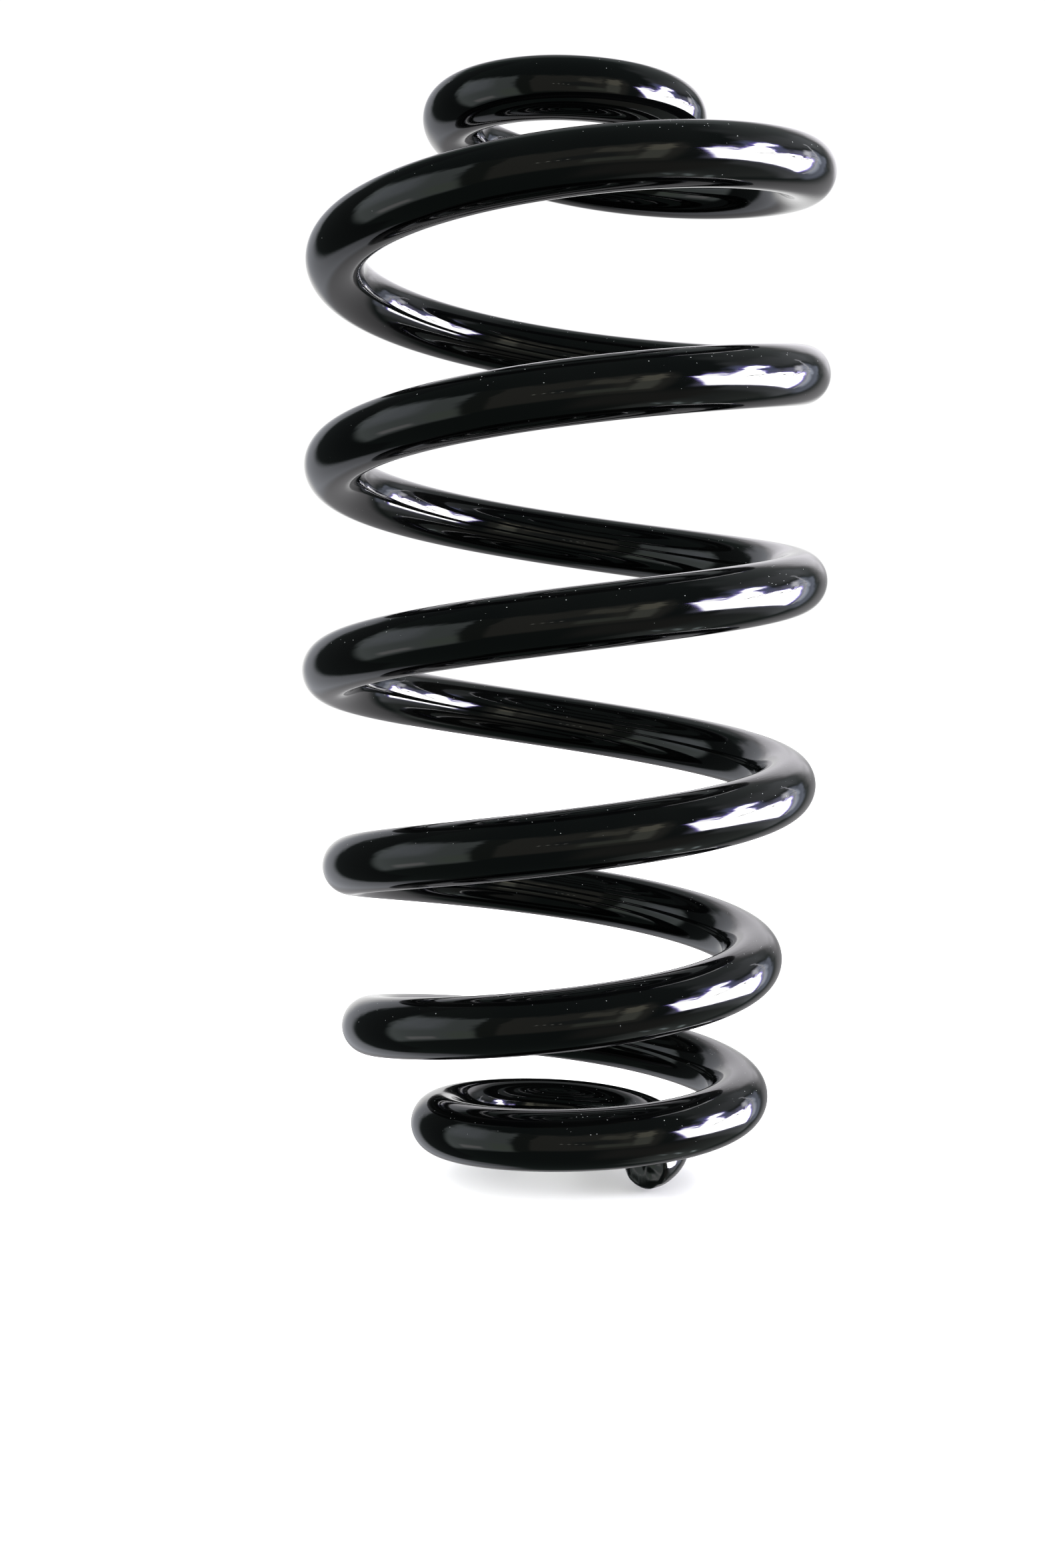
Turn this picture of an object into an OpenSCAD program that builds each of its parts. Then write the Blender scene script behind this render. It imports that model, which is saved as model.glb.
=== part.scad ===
// Coil spring of a car's rear suspension: one round steel bar, hot wound into a right-handed barrel of
// open coils, with each end curled inwards into a small seat coil.
// The bar is one piece. It is divided here into quarter-turn stretches, so that it can shorten: each
// stretch slides down a little on the one below it, along the spring's axis.
// The origin is on the axis, at the plane of the lower seat, and +Z is up.

/* [Bar] */
// Diameter of the steel bar
bar_d = 13; // [10:0.25:14]
// Flat sides round the bar
bar_sides = 16; // [12:2:20]

/* [Coils] */
// Mean radius of the widest coils
barrel_r = 51; // [48:0.5:58]
// Mean radius of the lowest open coil
lower_r = 41.5; // [38:0.5:46]
// Mean radius of the curled ends at their tightest
curl_r = 22; // [20:0.5:25]

/* [Rise] */
// Rise of one turn in the middle of the barrel
barrel_rise = 44.5; // [40:0.5:48]
// Rise of one turn where the open coils begin
lower_rise = 33; // [28:0.5:36]
// Rise of one turn in the lower curled end
curl_rise = 6; // [4:0.5:8]

/* [Stretches] */
// Rings in a quarter turn
quarter_rings = 12; // [8:2:16]
// Gap between one stretch and the next
stretch_gap = 0.2; // [0.1:0.05:0.4]

/* [Hidden] */
bar_r = bar_d / 2;
// A polygon with these corners has the same area as the round bar
corner_r = bar_r * sqrt(PI / (bar_sides * sin(180 / bar_sides) * cos(180 / bar_sides)));
bar_colour = [0.02, 0.02, 0.022];

// The winding plan, one row for each place where it changes, counted in turns from the +X side:
// [turn, mean radius, rise of one turn]
PLAN = [
    [-0.12, curl_r + 3, curl_rise + 14],
    [0, curl_r + 1, curl_rise + 2],
    [0.25, curl_r + 1.5, curl_rise - 1],
    [0.5, curl_r + 4, curl_rise + 3],
    [0.75, curl_r + 9, curl_rise + 5],
    [1, lower_r - 1, lower_rise - 11],
    [1.35, lower_r, lower_rise],
    [2, lower_r + 1.5, lower_rise + 1.5],
    [3.2, barrel_r - 0.5, barrel_rise + 0.5],
    [4.5, barrel_r, barrel_rise],
    [5.7, barrel_r, barrel_rise],
    [6, barrel_r, barrel_rise - 10.5],
    [6.25, barrel_r - 12, barrel_rise - 8.5],
    [6.5, curl_r + 3.5, 0],
    [6.75, curl_r, -4],
    [7.06, curl_r + 1.5, -2]
];
LAST = len(PLAN) - 1;
first_turn = PLAN[0][0];
last_turn = PLAN[LAST][0];

// The lower end coil runs up to the first cut, and the upper one runs on from the last
FIRST_CUT = 1.125;
QUARTER = 0.25;
QUARTERS = 19;
last_cut = FIRST_CUT + QUARTERS * QUARTER;

// Which stretch of the plan holds this turn
function row(turn, k = 0) = k >= LAST - 1 || turn < PLAN[k + 1][0] ? k : row(turn, k + 1);

// How fast the mean radius changes at a row of the plan; it is level at both ends
function widening(k) =
    k == 0 || k == LAST ? 0
    : (PLAN[k + 1][1] - PLAN[k - 1][1]) / (PLAN[k + 1][0] - PLAN[k - 1][0]);

// The mean radius at a turn: a smooth curve through the plan's radii
function mean_r(turn) =
    let (k = row(turn), a = PLAN[k], b = PLAN[k + 1])
    let (span = b[0] - a[0], s = (turn - a[0]) / span)
    (2 * s ^ 3 - 3 * s ^ 2 + 1) * a[1] + (3 * s ^ 2 - 2 * s ^ 3) * b[1]
    + (s ^ 3 - 2 * s ^ 2 + s) * span * widening(k) + (s ^ 3 - s ^ 2) * span * widening(k + 1);

// The height gained between the bar's lower end and a row of the plan
function row_height(k) =
    k == 0 ? 0
    : row_height(k - 1) + (PLAN[k][0] - PLAN[k - 1][0]) * (PLAN[k][2] + PLAN[k - 1][2]) / 2;
HEIGHTS = [for (k = [0 : LAST]) row_height(k)];

// The height of the bar's centre at a turn; the rise changes evenly between the plan's rows
function height(turn) =
    let (k = row(turn), a = PLAN[k], b = PLAN[k + 1], on = turn - a[0])
    bar_r + HEIGHTS[k] + a[2] * on + (b[2] - a[2]) / (b[0] - a[0]) * on ^ 2 / 2;

function unit(v) = v / norm(v);
function centre(turn) =
    let (angle = 360 * turn) [mean_r(turn) * cos(angle), mean_r(turn) * sin(angle), height(turn)];
STEP = 0.001;
function direction(turn) = unit(centre(turn + STEP) - centre(turn - STEP));

// The corners where an upright plane through the axis cuts the bar
function ring(turn) =
    let (angle = 360 * turn, along = direction(turn))
    [for (k = [0 : bar_sides - 1])
        let (round = 360 * (k + 0.5) / bar_sides)
        let (out = [cos(round) * cos(angle), cos(round) * sin(angle), sin(round)])
        centre(turn) + out * corner_r / sqrt(1 - (out * along) ^ 2)];

// The turn at a short distance along the bar from another turn
function turn_beyond(turn, distance) = turn + distance / (2 * PI * mean_r(turn));

// The bar from one turn to another, closed by a flat face at each end
module stretch(from, to) {
    count = ceil((to - from) / QUARTER * quarter_rings - 0.1);
    rings = [for (k = [0 : count]) ring(from + (to - from) * k / count)];
    n = bar_sides;
    sides = [for (k = [0 : count - 1], j = [0 : n - 1])
        let (a = k * n + j, b = k * n + (j + 1) % n)
        each [[a, a + n, b], [b, a + n, b + n]]];
    lower_face = [for (j = [0 : n - 1]) j];
    upper_face = [for (j = [n - 1 : -1 : 0]) count * n + j];
    polyhedron([for (corners = rings) each corners], concat([lower_face], sides, [upper_face]), 4);
}

// The seat coil at the bottom, with the bar's lower end
module lower_end_coil() {
    color(bar_colour) stretch(first_turn, turn_beyond(FIRST_CUT, -stretch_gap / 2));
}

// One quarter turn of the open coils, counted from the bottom
module quarter_coil(number) {
    from = FIRST_CUT + (number - 1) * QUARTER;
    to = from + QUARTER;
    color(bar_colour) stretch(turn_beyond(from, stretch_gap / 2), turn_beyond(to, -stretch_gap / 2));
}

// The seat coil at the top, with the bar's upper end
module upper_end_coil() {
    color(bar_colour) stretch(turn_beyond(last_cut, stretch_gap / 2), last_turn);
}

function quarter_name(number) = str("quarter_coil_", number < 10 ? "0" : "", number);

lower_end_coil();
for (k = [1 : QUARTERS])
    quarter_coil(k);
upper_end_coil();
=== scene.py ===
import math

import bpy
import numpy as np
from mathutils import Matrix, Vector


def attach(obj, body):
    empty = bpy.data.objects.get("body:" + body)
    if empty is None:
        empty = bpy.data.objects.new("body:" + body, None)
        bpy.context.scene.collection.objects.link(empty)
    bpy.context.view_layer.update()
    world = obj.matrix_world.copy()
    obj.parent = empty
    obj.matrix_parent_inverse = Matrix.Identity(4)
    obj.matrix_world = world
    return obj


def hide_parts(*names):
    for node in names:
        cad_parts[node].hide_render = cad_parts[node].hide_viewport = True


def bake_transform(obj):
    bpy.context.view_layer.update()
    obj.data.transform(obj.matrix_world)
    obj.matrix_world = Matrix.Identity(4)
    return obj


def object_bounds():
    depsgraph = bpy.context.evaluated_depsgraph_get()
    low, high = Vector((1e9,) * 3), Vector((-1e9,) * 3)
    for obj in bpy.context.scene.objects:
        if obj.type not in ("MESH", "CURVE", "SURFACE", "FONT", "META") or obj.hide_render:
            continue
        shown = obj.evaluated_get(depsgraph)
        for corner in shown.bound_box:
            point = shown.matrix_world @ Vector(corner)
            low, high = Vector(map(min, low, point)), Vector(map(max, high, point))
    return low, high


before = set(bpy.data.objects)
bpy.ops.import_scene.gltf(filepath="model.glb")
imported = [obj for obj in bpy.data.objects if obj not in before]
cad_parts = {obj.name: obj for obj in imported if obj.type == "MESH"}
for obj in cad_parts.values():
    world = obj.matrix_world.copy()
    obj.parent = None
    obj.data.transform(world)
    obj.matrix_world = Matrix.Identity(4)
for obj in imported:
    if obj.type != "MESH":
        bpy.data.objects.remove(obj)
cad_low, cad_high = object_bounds()

# ---------------------------------------------------------------- the spring's sizes, in metres
BAR_RADIUS = 0.0065
BARREL_RADIUS = 0.051
LOWER_RADIUS = 0.0415
CURL_RADIUS = 0.022
BARREL_RISE = 0.0445
LOWER_RISE = 0.033
CURL_RISE = 0.006

# The winding plan: turns counted from the +X side, mean radius, rise of one turn
WINDING = (
    (-0.12, CURL_RADIUS + 0.003, CURL_RISE + 0.014),
    (0, CURL_RADIUS + 0.001, CURL_RISE + 0.002),
    (0.25, CURL_RADIUS + 0.0015, CURL_RISE - 0.001),
    (0.5, CURL_RADIUS + 0.004, CURL_RISE + 0.003),
    (0.75, CURL_RADIUS + 0.009, CURL_RISE + 0.005),
    (1, LOWER_RADIUS - 0.001, LOWER_RISE - 0.011),
    (1.35, LOWER_RADIUS, LOWER_RISE),
    (2, LOWER_RADIUS + 0.0015, LOWER_RISE + 0.0015),
    (3.2, BARREL_RADIUS - 0.0005, BARREL_RISE + 0.0005),
    (4.5, BARREL_RADIUS, BARREL_RISE),
    (5.7, BARREL_RADIUS, BARREL_RISE),
    (6, BARREL_RADIUS, BARREL_RISE - 0.0105),
    (6.25, BARREL_RADIUS - 0.012, BARREL_RISE - 0.0085),
    (6.5, CURL_RADIUS + 0.0035, 0),
    (6.75, CURL_RADIUS, -0.004),
    (7.06, CURL_RADIUS + 0.0015, -0.002),
)
TURN, MEAN_RADIUS, RISE = (np.array(column, float) for column in zip(*WINDING))
FIRST_TURN, LAST_TURN = TURN[0], TURN[-1]

# The bar is divided where one quarter turn's travel has ended and the next one's begins
FIRST_SEAM = 1.0
QUARTER = 0.25
QUARTERS = 20

RINGS_PER_TURN = 360
SIDES = 64
LENGTH_SAMPLES = 20001

# How fast the mean radius changes at each row of the plan, and the height gained up to it
WIDENING = np.zeros(len(TURN))
WIDENING[1:-1] = (MEAN_RADIUS[2:] - MEAN_RADIUS[:-2]) / (TURN[2:] - TURN[:-2])
GAINED = np.concatenate([[0], np.cumsum(np.diff(TURN) * (RISE[1:] + RISE[:-1]) / 2)])


def plan_row(turn):
    return np.clip(np.searchsorted(TURN, turn, side="right") - 1, 0, len(TURN) - 2)


def coil_radius(turn):
    """The mean radius at a turn: a smooth curve through the plan's radii."""
    k = plan_row(turn)
    span = TURN[k + 1] - TURN[k]
    s = (turn - TURN[k]) / span
    level = (2 * s**3 - 3 * s**2 + 1) * MEAN_RADIUS[k] + (3 * s**2 - 2 * s**3) * MEAN_RADIUS[k + 1]
    slope = (s**3 - 2 * s**2 + s) * WIDENING[k] + (s**3 - s**2) * WIDENING[k + 1]
    return level + slope * span


def bar_height(turn):
    """The height of the bar's centre at a turn; the rise changes evenly between the plan's rows."""
    k = plan_row(turn)
    on = turn - TURN[k]
    steepening = (RISE[k + 1] - RISE[k]) / (TURN[k + 1] - TURN[k])
    return BAR_RADIUS + GAINED[k] + RISE[k] * on + steepening * on**2 / 2


def bar_centre(turn):
    turn = np.asarray(turn, float)
    angle = 2 * math.pi * turn
    radius = coil_radius(turn)
    return np.stack([radius * np.cos(angle), radius * np.sin(angle), bar_height(turn)], -1)


# ---------------------------------------------------------------- the guide that the bar is wound on
EDGE = 0.0011  # radius left on the rim of a sheared end
CROWN = 0.0004  # how far a sheared face stands out in its middle
SHEAR_MARKS = 0.0035  # how far the shear's marks reach along the bar
DIMPLE_SIZE = 0.0036
DIMPLE_DEPTH = 0.0006
DIMPLE_SEED = 5
FACE_RINGS = 14
EDGE_RINGS = 9
INNERMOST = 0.03  # the thickness share of the very first ring, which a small flat face closes


def end_rings():
    """The rings that close an end, from its middle outwards: distance from the very end, thickness share."""
    flat = 1 - EDGE / BAR_RADIUS
    rings = []
    for k in range(FACE_RINGS):
        share = INNERMOST + (flat - INNERMOST) * k / FACE_RINGS
        rings.append((CROWN * (share / flat) ** 2, share))
    for k in range(EDGE_RINGS):
        rolled = math.pi / 2 * k / EDGE_RINGS
        rings.append((CROWN + EDGE * (1 - math.cos(rolled)), flat + EDGE / BAR_RADIUS * math.sin(rolled)))
    return rings


def guide_rings():
    """Turn and thickness share of every ring along the bar, and the ring that each seam falls on."""
    closing = end_rings()
    reach = CROWN + EDGE
    low_per_metre = 1 / (2 * math.pi * coil_radius(FIRST_TURN))
    high_per_metre = 1 / (2 * math.pi * coil_radius(LAST_TURN))
    low = [(FIRST_TURN + inset * low_per_metre, share) for inset, share in closing]
    high = [(LAST_TURN - inset * high_per_metre, share) for inset, share in reversed(closing)]
    first = math.ceil((FIRST_TURN + reach * low_per_metre) * RINGS_PER_TURN + 0.5)
    last = math.floor((LAST_TURN - reach * high_per_metre) * RINGS_PER_TURN - 0.5)
    middle = [(k / RINGS_PER_TURN, 1.0) for k in range(first, last + 1)]
    seam_turns = [FIRST_SEAM + QUARTER * k for k in range(QUARTERS + 1)]
    seams = [len(low) + round(turn * RINGS_PER_TURN) - first for turn in seam_turns]
    return np.array(low + middle + high), seams


rings, seams = guide_rings()
centres = bar_centre(rings[:, 0])
fine = np.linspace(FIRST_TURN, LAST_TURN, LENGTH_SAMPLES)
steps = np.linalg.norm(np.diff(bar_centre(fine), axis=0), axis=1)
travelled = np.concatenate([[0], np.cumsum(steps)])
along = np.interp(rings[:, 0], fine, travelled)
from_end = np.minimum(along, travelled[-1] - along)
sheared = np.clip(1 - from_end / SHEAR_MARKS, 0, 1)

guide_mesh = bpy.data.meshes.new("bar guide")
guide_mesh.from_pydata(centres.tolist(), [(k, k + 1) for k in range(len(centres) - 1)], [])
for name, values in (("along", along), ("thickness", rings[:, 1]), ("sheared", sheared)):
    guide_mesh.attributes.new(name, "FLOAT", "POINT").data.foreach_set("value", values.astype(np.float32))
guide = bpy.data.objects.new("bar guide", guide_mesh)
bpy.context.scene.collection.objects.link(guide)


# ---------------------------------------------------------------- small helpers for node trees
def add(tree, kind, inputs=None, **settings):
    """A node with its settings, and its inputs given as values or as other nodes' outputs."""
    node = tree.nodes.new(kind)
    for key, value in settings.items():
        setattr(node, key, value)
    for key, value in (inputs or {}).items():
        socket = node.inputs[key]
        if isinstance(value, bpy.types.NodeSocket):
            tree.links.new(value, socket)
        else:
            socket.default_value = value
    return node


def maths(tree, operation, a, b=0.0, c=0.0):
    return add(tree, "ShaderNodeMath", {0: a, 1: b, 2: c}, operation=operation).outputs[0]


def spread(tree, value, low, high, to_low=0.0, to_high=1.0):
    """Value between low and high, spread smoothly between two new ends."""
    ends = {"Value": value, "From Min": low, "From Max": high, "To Min": to_low, "To Max": to_high}
    return add(tree, "ShaderNodeMapRange", ends, interpolation_type="SMOOTHSTEP").outputs["Result"]


def scaled(tree, vector, by):
    return add(tree, "ShaderNodeVectorMath", {0: vector, "Scale": by}, operation="SCALE").outputs["Vector"]


def mixed(tree, factor, a, b):
    """Colour a where the factor is 0 and colour b where it is 1."""
    return add(tree, "ShaderNodeMix", {0: factor, 6: a, 7: b}, data_type="RGBA").outputs[2]


def placed_group(tree, group, place, **sizes):
    """A shader group in a material, reading the bar's own coordinates, with its sizes."""
    node = add(tree, "ShaderNodeGroup", node_tree=group)
    tree.links.new(place, node.inputs["Place"])
    for name, size in sizes.items():
        node.inputs[name].default_value = size
    return node


def open_sockets(tree, inputs, outputs):
    """A tree's own sockets: inputs as name, kind and first value, outputs as name and kind."""
    for name, kind, value in inputs:
        socket = tree.interface.new_socket(name, in_out="INPUT", socket_type=kind)
        if value is not None:
            socket.default_value = value
    for name, kind in outputs:
        tree.interface.new_socket(name, in_out="OUTPUT", socket_type=kind)


# ---------------------------------------------------------------- the bar, swept along its guide
def wound_bar_tree():
    """Sweeps a round bar along a guide, with its ends dimpled by the shear."""
    tree = bpy.data.node_groups.new("wound bar", "GeometryNodeTree")
    open_sockets(
        tree,
        [
            ("Guide", "NodeSocketGeometry", None),
            ("Bar Radius", "NodeSocketFloat", 0.005),
            ("Sides", "NodeSocketInt", 32),
            ("Dimple Size", "NodeSocketFloat", 0.003),
            ("Dimple Depth", "NodeSocketFloat", 0.0003),
            ("Seed", "NodeSocketInt", 0),
            ("Paint", "NodeSocketMaterial", None),
        ],
        [("Bar", "NodeSocketGeometry")],
    )
    start = tree.nodes.new("NodeGroupInput").outputs
    curve = add(tree, "GeometryNodeMeshToCurve", {"Mesh": start["Guide"]}).outputs["Curve"]
    upright = add(tree, "GeometryNodeSetCurveNormal", {"Curve": curve}, mode="Z_UP").outputs["Curve"]
    round_section = {"Resolution": start["Sides"], "Radius": start["Bar Radius"]}
    ring = add(tree, "GeometryNodeCurvePrimitiveCircle", round_section).outputs["Curve"]

    def read(name, kind="FLOAT"):
        node = add(tree, "GeometryNodeInputNamedAttribute", {"Name": name}, data_type=kind)
        return node.outputs["Attribute"]

    def store(shape, name, value, kind="FLOAT"):
        inputs = {"Geometry": shape, "Name": name, "Value": value}
        return add(tree, "GeometryNodeStoreNamedAttribute", inputs, data_type=kind).outputs["Geometry"]

    position = tree.nodes.new("GeometryNodeInputPosition").outputs["Position"]
    ring = store(ring, "section", position, "FLOAT_VECTOR")
    bar = add(
        tree,
        "GeometryNodeCurveToMesh",
        {"Curve": upright, "Profile Curve": ring, "Scale": read("thickness"), "Fill Caps": True},
    ).outputs["Mesh"]

    # Each point's place on the bar before it was wound: along it, then across it
    across = scaled(tree, read("section", "FLOAT_VECTOR"), read("thickness"))
    split = add(tree, "ShaderNodeSeparateXYZ", {"Vector": across}).outputs
    place = add(tree, "ShaderNodeCombineXYZ", {"X": read("along"), "Y": split["X"], "Z": split["Y"]})
    bar = store(bar, "place", place.outputs["Vector"], "FLOAT_VECTOR")

    # The shear leaves shallow dimples and a scalloped rim
    per_metre = maths(tree, "DIVIDE", 1.0, start["Dimple Size"])
    cells = add(
        tree,
        "ShaderNodeTexVoronoi",
        {
            "Vector": read("place", "FLOAT_VECTOR"),
            "W": start["Seed"],
            "Scale": per_metre,
            "Smoothness": 0.35,
            "Randomness": 0.9,
        },
        voronoi_dimensions="4D",
        feature="SMOOTH_F1",
    ).outputs["Distance"]
    hollow = spread(tree, cells, 0.0, 0.75, 1.0, 0.0)
    depth = maths(tree, "MULTIPLY", hollow, start["Dimple Depth"])
    depth = maths(tree, "MULTIPLY", depth, spread(tree, read("sheared"), 0.0, 0.9))
    normal = tree.nodes.new("GeometryNodeInputNormal").outputs["Normal"]
    inwards = scaled(tree, normal, maths(tree, "MULTIPLY", depth, -1.0))
    bar = add(tree, "GeometryNodeSetPosition", {"Geometry": bar, "Offset": inwards}).outputs["Geometry"]

    # How far each point of the surface faces the sky, where dust settles
    skywards = add(tree, "ShaderNodeSeparateXYZ", {"Vector": normal}).outputs["Z"]
    bar = store(bar, "skywards", skywards)
    bar = add(tree, "GeometryNodeRealizeInstances", {"Geometry": bar}).outputs["Geometry"]
    painted = add(tree, "GeometryNodeSetMaterial", {"Geometry": bar, "Material": start["Paint"]})
    tree.links.new(painted.outputs["Geometry"], tree.nodes.new("NodeGroupOutput").inputs["Bar"])
    return tree


def set_input(modifier, name, value):
    socket = modifier.node_group.interface.items_tree[name]
    modifier[socket.identifier] = value


# ---------------------------------------------------------------- materials
# Every pattern lies on the bar as it was before winding, so it stays on the paint when the spring is squeezed
def noise(tree, place, size, detail=2.0):
    """Cloudy patches of a size, from 0 to 1."""
    inputs = {"Vector": place, "Scale": maths(tree, "DIVIDE", 1.0, size), "Detail": detail}
    return add(tree, "ShaderNodeTexNoise", inputs).outputs["Fac"]


def orange_peel_group():
    """The low waves that sprayed paint dries with, as a height from 0 to 1."""
    tree = bpy.data.node_groups.new("orange peel", "ShaderNodeTree")
    open_sockets(
        tree,
        [
            ("Place", "NodeSocketVector", None),
            ("Size", "NodeSocketFloat", 0.004),
        ],
        [("Height", "NodeSocketFloat")],
    )
    start = tree.nodes.new("NodeGroupInput").outputs
    waves = noise(tree, start["Place"], start["Size"])
    tree.links.new(waves, tree.nodes.new("NodeGroupOutput").inputs["Height"])
    return tree


DRIFT_SIZE = 0.03  # how far apart dustier and cleaner stretches of the bar are


def dust_group():
    """Specks of dust, as a mask: most of them lie where the bar faces the sky."""
    tree = bpy.data.node_groups.new("dust specks", "ShaderNodeTree")
    open_sockets(
        tree,
        [
            ("Place", "NodeSocketVector", None),
            ("Skywards", "NodeSocketFloat", 0.0),
            ("Spacing", "NodeSocketFloat", 0.001),
            ("Size", "NodeSocketFloat", 0.0002),
        ],
        [("Mask", "NodeSocketFloat")],
    )
    start = tree.nodes.new("NodeGroupInput").outputs
    per_metre = maths(tree, "DIVIDE", 1.0, start["Spacing"])
    cells = add(tree, "ShaderNodeTexVoronoi", {"Vector": start["Place"], "Scale": per_metre}).outputs
    chance = add(tree, "ShaderNodeSeparateColor", {"Color": cells["Color"]}).outputs
    drifts = spread(tree, noise(tree, start["Place"], DRIFT_SIZE), 0.4, 0.65, 0.3, 1.0)
    settled = spread(tree, start["Skywards"], -0.1, 0.9, 0.06, 0.75)
    lies_here = maths(tree, "LESS_THAN", chance["Red"], maths(tree, "MULTIPLY", settled, drifts))
    largest = maths(tree, "MULTIPLY", maths(tree, "MULTIPLY", start["Size"], per_metre), 0.5)
    radius = maths(tree, "MULTIPLY", largest, spread(tree, chance["Green"], 0.0, 1.0, 0.4, 1.0))
    inside = maths(tree, "LESS_THAN", cells["Distance"], radius)
    mask = maths(tree, "MULTIPLY", inside, lies_here)
    tree.links.new(mask, tree.nodes.new("NodeGroupOutput").inputs["Mask"])
    return tree


def shear_marks_group():
    """Ridges that the shear's blade drags across the bar's ends, as a height from 0 to 1."""
    tree = bpy.data.node_groups.new("shear marks", "ShaderNodeTree")
    open_sockets(
        tree,
        [
            ("Place", "NodeSocketVector", None),
            ("Sheared", "NodeSocketFloat", 0.0),
            ("Size", "NodeSocketFloat", 0.001),
        ],
        [("Height", "NodeSocketFloat")],
    )
    start = tree.nodes.new("NodeGroupInput").outputs
    drawn_out = {0: start["Place"], 1: (1.0, 1.0, 0.2)}
    dragged = add(tree, "ShaderNodeVectorMath", drawn_out, operation="MULTIPLY").outputs["Vector"]
    ridges = noise(tree, dragged, start["Size"], 3.0)
    height = maths(tree, "MULTIPLY", ridges, spread(tree, start["Sheared"], 0.3, 0.9))
    tree.links.new(height, tree.nodes.new("NodeGroupOutput").inputs["Height"])
    return tree


PAINT_BLACK = (0.0006, 0.0007, 0.0008, 1)
PAINT_THIN = (0.0011, 0.0012, 0.0012, 1)
DUST_GREY = (0.2, 0.21, 0.21, 1)
PAINT_IOR = 1.5
DUST_ROUGHNESS = 0.7
SHEARED_ROUGHNESS = 0.08  # added where the shear has been
FILM_PATCHES = 0.02  # size of the thicker and thinner patches of the paint film
GLOSS_PATCHES = 0.009  # size of the glossier and duller patches
PEEL_DEPTH = 0.000012
SHEAR_MARK_DEPTH = 0.00006


def black_paint(name):
    """Gloss black with a little orange peel and dust, and the shear's marks at the bar's ends."""
    material = bpy.data.materials.new(name)
    material.use_nodes = True
    tree = material.node_tree
    shader = tree.nodes["Principled BSDF"]
    place = add(tree, "ShaderNodeAttribute", attribute_name="place").outputs["Vector"]
    skywards = add(tree, "ShaderNodeAttribute", attribute_name="skywards").outputs["Fac"]
    sheared = add(tree, "ShaderNodeAttribute", attribute_name="sheared").outputs["Fac"]
    peel = placed_group(tree, orange_peel_group(), place, Size=0.0045)
    dust = placed_group(tree, dust_group(), place, Spacing=0.0009, Size=0.0002)
    marks = placed_group(tree, shear_marks_group(), place, Size=0.0012)
    tree.links.new(skywards, dust.inputs["Skywards"])
    tree.links.new(sheared, marks.inputs["Sheared"])

    thin_places = spread(tree, noise(tree, place, FILM_PATCHES), 0.35, 0.7)
    film = mixed(tree, thin_places, PAINT_BLACK, PAINT_THIN)
    tree.links.new(mixed(tree, dust.outputs["Mask"], film, DUST_GREY), shader.inputs["Base Color"])

    gloss = spread(tree, noise(tree, place, GLOSS_PATCHES), 0.3, 0.7, 0.045, 0.075)
    gloss = maths(tree, "MULTIPLY_ADD", sheared, SHEARED_ROUGHNESS, gloss)
    rough = maths(tree, "MAXIMUM", gloss, maths(tree, "MULTIPLY", dust.outputs["Mask"], DUST_ROUGHNESS))
    tree.links.new(rough, shader.inputs["Roughness"])
    shader.inputs["IOR"].default_value = PAINT_IOR

    waves = add(tree, "ShaderNodeBump", {"Height": peel.outputs["Height"], "Distance": PEEL_DEPTH})
    ridges = {
        "Height": marks.outputs["Height"],
        "Distance": SHEAR_MARK_DEPTH,
        "Normal": waves.outputs["Normal"],
    }
    ridged = add(tree, "ShaderNodeBump", ridges)
    tree.links.new(ridged.outputs["Normal"], shader.inputs["Normal"])
    return material


spring_paint = black_paint("gloss black spring paint")

# ---------------------------------------------------------------- the wound bar as one plain mesh
modifier = guide.modifiers.new("wound bar", "NODES")
modifier.node_group = wound_bar_tree()
set_input(modifier, "Bar Radius", BAR_RADIUS)
set_input(modifier, "Sides", SIDES)
set_input(modifier, "Dimple Size", DIMPLE_SIZE)
set_input(modifier, "Dimple Depth", DIMPLE_DEPTH)
set_input(modifier, "Seed", DIMPLE_SEED)
set_input(modifier, "Paint", spring_paint)
graph = bpy.context.evaluated_depsgraph_get()
whole = bpy.data.meshes.new_from_object(guide.evaluated_get(graph))
bpy.data.objects.remove(guide)


def read_vectors(mesh, name):
    values = np.zeros(len(mesh.vertices) * 3, np.float32)
    mesh.attributes[name].data.foreach_get("vector", values)
    return values.reshape(-1, SIDES, 3)


def read_values(mesh, name):
    values = np.zeros(len(mesh.vertices), np.float32)
    mesh.attributes[name].data.foreach_get("value", values)
    return values.reshape(-1, SIDES)


points = read_vectors(whole, "position")
places = read_vectors(whole, "place")
shares = {name: read_values(whole, name) for name in ("sheared", "skywards")}
normals = np.zeros(len(whole.vertices) * 3, np.float32)
whole.vertex_normals.foreach_get("vector", normals)
normals = normals.reshape(-1, SIDES, 3)
if len(points) != len(rings):
    raise RuntimeError("the wound bar has lost some of its rings")


# Which way round a side's corners run, seen on a ring in the middle of the bar
ring = points[seams[0]]
one, two, three = ring[0], ring[1], points[seams[0] + 1][1]
FACES_OUTWARDS = np.dot(np.cross(two - one, three - one), one - ring.mean(0)) > 0


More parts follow.
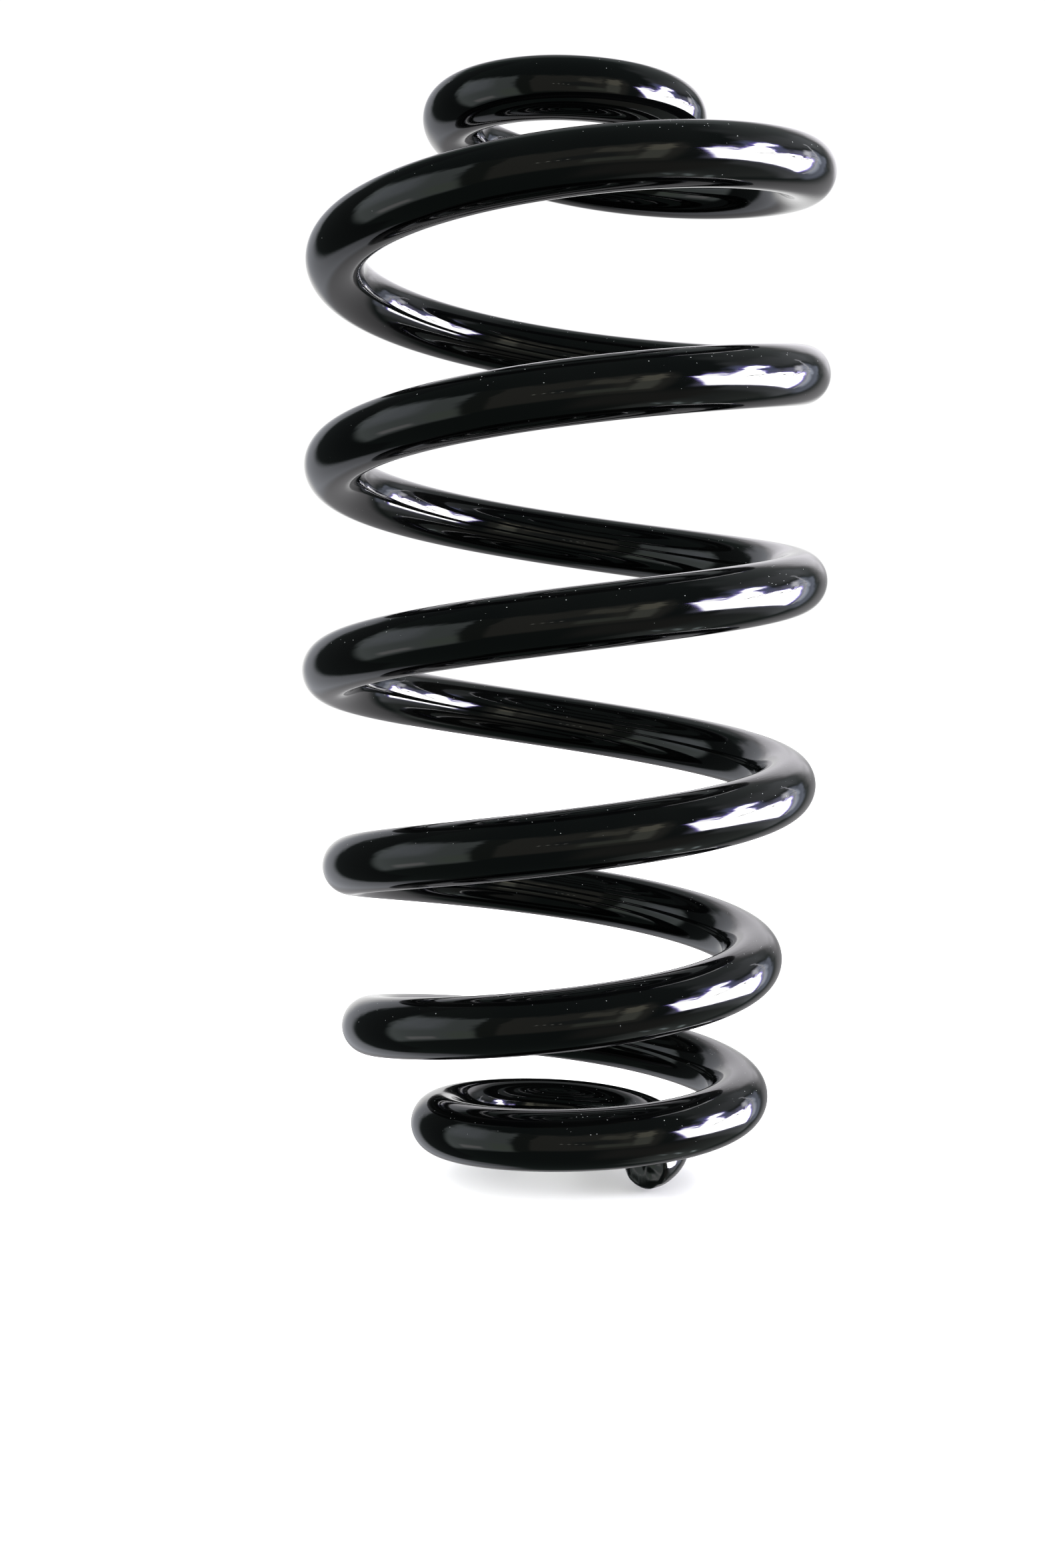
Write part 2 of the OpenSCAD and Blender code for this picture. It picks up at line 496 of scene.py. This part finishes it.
def cut_piece(name, first, last):
    """The bar from one ring to another as a closed piece, with the whole bar's smooth normals on its side."""
    count = last - first + 1
    sides = []
    for k in range(count - 1):
        for j in range(SIDES):
            a, b = k * SIDES + j, k * SIDES + (j + 1) % SIDES
            sides.append((a, b, b + SIDES, a + SIDES))
    lower_cap = tuple(reversed(range(SIDES)))
    upper_cap = tuple((count - 1) * SIDES + j for j in range(SIDES))
    corners = points[first : last + 1].reshape(-1, 3)
    if not FACES_OUTWARDS:
        sides = [tuple(reversed(side)) for side in sides]
        lower_cap, upper_cap = tuple(reversed(lower_cap)), tuple(reversed(upper_cap))
    mesh = bpy.data.meshes.new(name)
    mesh.from_pydata(corners.tolist(), [], sides + [lower_cap, upper_cap])
    mesh.attributes.new("place", "FLOAT_VECTOR", "POINT").data.foreach_set(
        "vector", places[first : last + 1].ravel()
    )
    for share, values in shares.items():
        kept = mesh.attributes.new(share, "FLOAT", "POINT")
        kept.data.foreach_set("value", values[first : last + 1].ravel())
    smooth = np.ones(len(mesh.polygons), bool)
    smooth[-2:] = False
    mesh.polygons.foreach_set("use_smooth", smooth)
    mesh.materials.append(spring_paint)
    mesh.update()
    side_normals = normals[first : last + 1].reshape(-1, 3)[np.array(sides).ravel()]
    cap_normals = [np.array(mesh.polygons[len(sides) + k].normal) for k in range(2)]
    corner_normals = np.concatenate([side_normals, np.repeat(cap_normals, SIDES, axis=0)])
    mesh.normals_split_custom_set(corner_normals.tolist())
    piece = bpy.data.objects.new(name, mesh)
    bpy.context.scene.collection.objects.link(piece)
    return piece


BODIES = ["lower_end_coil", *[f"quarter_coil_{k:02d}" for k in range(1, QUARTERS)], "upper_end_coil"]

lower_end = cut_piece("lower_end", 0, seams[0])
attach(lower_end, BODIES[0])
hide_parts(BODIES[0])
upper_end = cut_piece("upper_end", seams[-1], len(rings) - 1)
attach(upper_end, BODIES[-1])
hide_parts(BODIES[-1])

# Each quarter of the open coils crosses one joint, and is cut as a piece of its own between two seams
CLEAR_OF_SEAM = 0.0002
for k in range(QUARTERS):
    piece = cut_piece(f"coil_{k + 1:02d}", seams[k], seams[k + 1])
    turn = FIRST_SEAM + QUARTER * (k + 0.5)
    middle = bar_centre(turn)
    angle = 2 * math.pi * turn
    onwards = np.array([-math.sin(angle), math.cos(angle), 0])
    ahead = ((points[seams[k + 1]] - middle) @ onwards).min() - CLEAR_OF_SEAM
    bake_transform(piece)
    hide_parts(BODIES[min(k + 1, QUARTERS)])
bpy.data.meshes.remove(whole)

# ---------------------------------------------------------------- the pale floor
FLOOR_REACH = 4
FLOOR_GAP = 0.0005

floor_corners = [(x * FLOOR_REACH, y * FLOOR_REACH, 0) for x, y in ((-1, -1), (1, -1), (1, 1), (-1, 1))]
floor_mesh = bpy.data.meshes.new("floor")
floor_mesh.from_pydata(floor_corners, [], [(0, 1, 2, 3)])
floor = bpy.data.objects.new("floor", floor_mesh)
floor.location.z = cad_low.z - FLOOR_GAP
floor.visible_glossy = False
floor.visible_diffuse = False
bpy.context.scene.collection.objects.link(floor)
floor_paint = bpy.data.materials.new("pale floor")
floor_paint.use_nodes = True
floor_shader = floor_paint.node_tree.nodes["Principled BSDF"]
floor_shader.inputs["Base Color"].default_value = (0.9, 0.9, 0.9, 1)
floor_shader.inputs["Roughness"].default_value = 0.8
floor_mesh.materials.append(floor_paint)

# ---------------------------------------------------------------- the room that the gloss paint mirrors
# What stands round the spring, by direction in degrees: 0 is behind the spring, 90 to its right, 180 on the
# camera's side and 270 to its left. Each row lies over those before it:
# (name, from and to round the room, from and to in height, lean, softness of the edge, colour, brightness)
ROOM = (
    ("floor, right", (36, 108), (-70, -49), 0, 8, (0.9, 1.0, 0.95), 0.4),
    ("floor, far right", (50, 112), (-50, -26), 0, 8, (0.9, 1.0, 0.95), 0.24),
    ("pale line on the floor, near", (50, 63), (-51.5, -50), 0, 1, (0.85, 1.0, 1.0), 1.7),
    ("pale line on the floor, middle", (64, 80), (-56.5, -55), 0, 1, (0.85, 1.0, 1.0), 1.9),
    ("pale line on the floor, far", (82, 98), (-60.5, -59), 0, 1, (0.85, 1.0, 1.0), 1.5),
    ("ceiling, right", (-24, 100), (40, 62), 0, 8, (0.9, 1.0, 1.0), 0.29),
    ("floor, camera side", (96, 165), (-62, -28), 0, 12, (1.0, 1.0, 0.9), 0.17),
    ("backdrop, middle", (-20, 36), (-50, 42), 0, 8, (1.0, 0.99, 1.02), 0.42),
    ("backdrop, left", (317, 344), (-58, 36), 0, 5, (0.97, 1.0, 1.08), 0.68),
    ("backdrop, low corner", (-46, -22), (-62, -50), 0, 5, (0.97, 1.0, 1.08), 0.5),
    ("backdrop, high", (-14, 28), (10, 34), 0, 8, (1.0, 0.98, 1.03), 1.45),
    ("backdrop behind the spring", (-23, 12), (-9, 12), 0, 7, (1.0, 1.0, 1.0), 1.15),
    ("black curtain", (282, 314), (-52, 66), 0, 3, (0.85, 1.0, 1.0), 0.055),
    ("pale wall", (225, 279), (-32, 30), 0, 4, (0.86, 0.97, 0.95), 0.85),
    ("pale wall, brightest", (246, 275), (0, 28), 0, 8, (0.92, 1.0, 1.07), 1.2),
    ("pale wall, green", (223, 240), (-30, -8), 0, 6, (0.85, 1.0, 0.85), 0.85),
    ("pale wall, lamp", (248, 267), (-28, -21), 0, 2.5, (1.0, 1.0, 1.0), 1.5),
    ("warm wall", (134, 214), (-27, 28), 0, 4, (1.0, 1.0, 0.86), 0.27),
    ("warm wall, dark middle", (160, 186), (-8, 6), 0, 4, (0.9, 1.0, 0.95), 0.17),
    ("door frame", (212, 223), (-30, 31), 0, 2, (0.85, 1.0, 0.85), 0.12),
    ("warm post", (140, 151), (-19, 10), 0, 2, (1.0, 1.03, 0.86), 0.78),
    ("warm post, top", (139, 149), (7, 22), 0, 2, (1.0, 0.96, 0.75), 1.3),
    ("warm shelf", (153, 169), (8, 22), 0, 2.5, (1.0, 0.98, 0.8), 0.6),
    ("green shelf", (151, 173), (-19, -9), 0, 2.5, (0.92, 1.0, 0.82), 0.55),
    ("lamp 1", (180, 181), (-4, -3), 0, 0.5, (1.0, 1.0, 0.9), 4.0),
    ("lamp 2", (184, 185), (-3.5, -2.5), 0, 0.5, (1.0, 1.0, 0.9), 4.0),
    ("lamp 3", (188, 189), (-3, -2), 0, 0.5, (1.0, 1.0, 0.9), 4.0),
    ("lamp 4", (192, 193), (-2.5, -1.5), 0, 0.5, (1.0, 1.0, 0.9), 4.0),
    ("wall over the window", (38, 106), (24, 42), 0, 6, (0.9, 0.95, 1.0), 0.48),
    ("window sill", (46, 102), (-29, -16), 0, 4, (0.9, 0.95, 1.0), 0.58),
    ("wall left of the window", (42, 56), (-19, 19), 0, 3, (0.8, 0.88, 1.1), 0.75),
    ("wall left of the window, bright", (50, 58), (-12, 17), 0, 2.5, (0.85, 0.92, 1.1), 2.3),
    ("window haze", (56, 121), (-19, 18), 0, 4, (0.7, 0.7, 1.0), 1.6),
    ("window haze, high", (82, 106), (10, 29), 0, 4, (0.5, 0.55, 1.0), 2.2),
    ("window jamb", (52.5, 54), (-16, 30), 0, 0.7, (0.93, 0.93, 1.0), 2.6),
    ("window, left pane", (57, 65), (4, 19), 0, 3, (0.93, 0.93, 1.0), 4.5),
    ("window edge, low", (57, 113), (-17, 10.5), 0, 1.5, (0.35, 0.25, 1.0), 9),
    ("window edge, low right", (100, 123.5), (-17, 10.5), -0.45, 1.5, (0.35, 0.25, 1.0), 9),
    ("window edge, right slope", (104, 119), (0, 27.5), 0.8, 1.5, (0.3, 0.2, 1.0), 8),
    ("window edge, left slope", (77, 88), (0, 21.5), -0.7, 1.5, (0.3, 0.2, 1.0), 8),
    ("window edge, right pane", (112, 123), (4, 14), 0, 1.5, (0.3, 0.2, 1.0), 8),
    ("window, low panes", (58.5, 113), (-17, 9), 0, 1.5, (1.0, 1.0, 1.0), 28),
    ("window, low panes, right", (100, 122), (-17, 9), -0.45, 1.5, (1.0, 1.0, 1.0), 28),
    ("window, right slope", (105, 117), (0, 26), 0.8, 1.5, (1.0, 1.0, 1.0), 28),
    ("window, left slope", (79, 89), (0, 20), -0.7, 1.5, (1.0, 1.0, 1.0), 28),
    ("window, middle pane", (88, 104), (5, 14), 0, 1.5, (1.0, 1.0, 1.0), 28),
    ("window, right pane", (114, 121), (5, 12), 0, 2, (1.0, 1.0, 1.0), 22),
    ("window bar 1", (84, 86), (3, 13), 2.5, 0.8, (0.5, 0.5, 0.6), 1.0),
    ("window bar 2", (92, 94), (1, 13), 2.5, 0.8, (0.5, 0.5, 0.6), 1.0),
    ("window bar 3", (103, 106), (2, 12), 2.5, 1.0, (0.4, 0.4, 0.5), 0.6),
    ("window bar 4", (66, 67.5), (0, 9), 1.6, 0.8, (0.6, 0.5, 0.45), 3.0),
    ("window bar 5", (73, 74.5), (1, 9), 1.0, 0.8, (0.6, 0.5, 0.45), 3.0),
)
PATCH_SIDES = ("From", "To", "Bottom", "Top", "Lean", "Softness")


def lit_patch_group():
    """A soft-edged patch of the room, as a mask from 0 to 1."""
    tree = bpy.data.node_groups.new("lit patch", "ShaderNodeTree")
    inputs = [(name, "NodeSocketFloat", 0.0) for name in ("Round", "Height", *PATCH_SIDES)]
    open_sockets(tree, inputs, [("Mask", "NodeSocketFloat")])
    start = tree.nodes.new("NodeGroupInput").outputs
    leaning = maths(tree, "MULTIPLY_ADD", start["Height"], start["Lean"], start["Round"])
    outside = maths(tree, "MULTIPLY", start["Softness"], -1.0)
    mask = None
    for value, edge, sign in (
        (leaning, "From", 1),
        (leaning, "To", -1),
        (start["Height"], "Bottom", 1),
        (start["Height"], "Top", -1),
    ):
        inside = maths(tree, "MULTIPLY", maths(tree, "SUBTRACT", value, start[edge]), sign)
        step = spread(tree, inside, outside, start["Softness"])
        mask = step if mask is None else maths(tree, "MULTIPLY", mask, step)
    tree.links.new(mask, tree.nodes.new("NodeGroupOutput").inputs["Mask"])
    return tree


ROOM_SHADE = (0.066, 0.086, 0.08)  # the room's colour between the patches
SEEN_WHITE = (1.05, 1.05, 1.05)  # what the camera itself sees beyond the floor
RIPPLE_SCALE = 7.0  # of the waves in the patches' outlines
RIPPLE_LOW, RIPPLE_HIGH = 1.0, 12.0  # the waves' size in degrees, below the horizon and above it


def room_world():
    """The room as the paint mirrors it, and plain white as the camera sees it."""
    world = bpy.data.worlds.new("room")
    world.use_nodes = True
    tree = world.node_tree
    tree.nodes.clear()
    way = tree.nodes.new("ShaderNodeTexCoord").outputs["Generated"]
    waves = {"Vector": way, "Scale": RIPPLE_SCALE, "Detail": 1.5}
    ripple = add(tree, "ShaderNodeTexNoise", waves).outputs["Color"]
    ripple = add(tree, "ShaderNodeSeparateXYZ", {"Vector": ripple}).outputs
    axes = add(tree, "ShaderNodeSeparateXYZ", {"Vector": way}).outputs
    height = maths(tree, "DEGREES", maths(tree, "ARCSINE", axes["Z"]))
    waver = spread(tree, height, -2.0, 8.0, RIPPLE_LOW, RIPPLE_HIGH)
    height = maths(tree, "MULTIPLY_ADD", maths(tree, "SUBTRACT", ripple["Y"], 0.5), waver, height)
    turned = maths(tree, "DEGREES", maths(tree, "ARCTAN2", axes["X"], axes["Y"]))
    turned = maths(tree, "MULTIPLY_ADD", maths(tree, "SUBTRACT", ripple["X"], 0.5), waver, turned)
    turned = maths(tree, "WRAP", turned, 360.0, 0.0)
    group = lit_patch_group()

    def laid_over(below, mask, above):
        return add(tree, "ShaderNodeMix", {0: mask, 4: below, 5: above}, data_type="VECTOR").outputs[1]

    shade = dict(zip("XYZ", ROOM_SHADE))
    colour = add(tree, "ShaderNodeCombineXYZ", shade).outputs["Vector"]
    for name, turn, rise, lean, softness, tint, strength in ROOM:
        # A patch that crosses the direction behind the spring is laid twice, a whole round apart
        if turn[0] < 0:
            laps = (0, 360)
        elif turn[1] > 360:
            laps = (0, -360)
        else:
            laps = (0,)
        for lap in laps:
            direction = {"Round": turned, "Height": height}
            patch = add(tree, "ShaderNodeGroup", direction, node_tree=group, label=name)
            values = (turn[0] + lap, turn[1] + lap, rise[0], rise[1], lean, softness)
            for socket, value in zip(PATCH_SIDES, values):
                patch.inputs[socket].default_value = value
            bright = [channel * strength for channel in tint]
            colour = laid_over(colour, patch.outputs["Mask"], bright)
    seen = tree.nodes.new("ShaderNodeLightPath").outputs["Is Camera Ray"]
    colour = laid_over(colour, seen, SEEN_WHITE)
    background = add(tree, "ShaderNodeBackground", {"Color": colour, "Strength": 1.0})
    output = tree.nodes.new("ShaderNodeOutputWorld")
    tree.links.new(background.outputs["Background"], output.inputs["Surface"])
    return world


bpy.context.scene.world = room_world()

# ---------------------------------------------------------------- the light on the floor, and the camera
LIGHT_SPREAD = math.radians(170)
LIGHT_STRENGTH = 9

light_data = bpy.data.lights.new("soft overhead light", "SUN")
light_data.angle = LIGHT_SPREAD
light_data.energy = LIGHT_STRENGTH
light = bpy.data.objects.new("soft overhead light", light_data)
light.visible_glossy = False
light.visible_camera = False
bpy.context.scene.collection.objects.link(light)

CAMERA_PLACE = (0, -0.4639, 0.1114)
CAMERA_YAW = math.radians(-1.0745)
CAMERA_PITCH = math.radians(-3.0)
CAMERA_ROLL = math.radians(0.71)
CAMERA_LENS = 47.94

camera_data = bpy.data.cameras.new("camera")
camera_data.lens = CAMERA_LENS
camera_data.clip_start = 0.01
camera = bpy.data.objects.new("camera", camera_data)
camera.rotation_mode = "QUATERNION"
ahead = Vector(
    (
        math.sin(CAMERA_YAW) * math.cos(CAMERA_PITCH),
        math.cos(CAMERA_YAW) * math.cos(CAMERA_PITCH),
        math.sin(CAMERA_PITCH),
    )
)
right = Vector((math.cos(CAMERA_YAW), -math.sin(CAMERA_YAW), 0))
up = right.cross(ahead)
rolled_right = right * math.cos(CAMERA_ROLL) + up * math.sin(CAMERA_ROLL)
rolled_up = up * math.cos(CAMERA_ROLL) - right * math.sin(CAMERA_ROLL)
camera_axes = Matrix((rolled_right, rolled_up, -ahead)).transposed()
camera.location = CAMERA_PLACE
camera.rotation_quaternion = camera_axes.to_quaternion()
bpy.context.scene.collection.objects.link(camera)
bpy.context.scene.camera = camera
bpy.context.scene.view_settings.view_transform = "Standard"
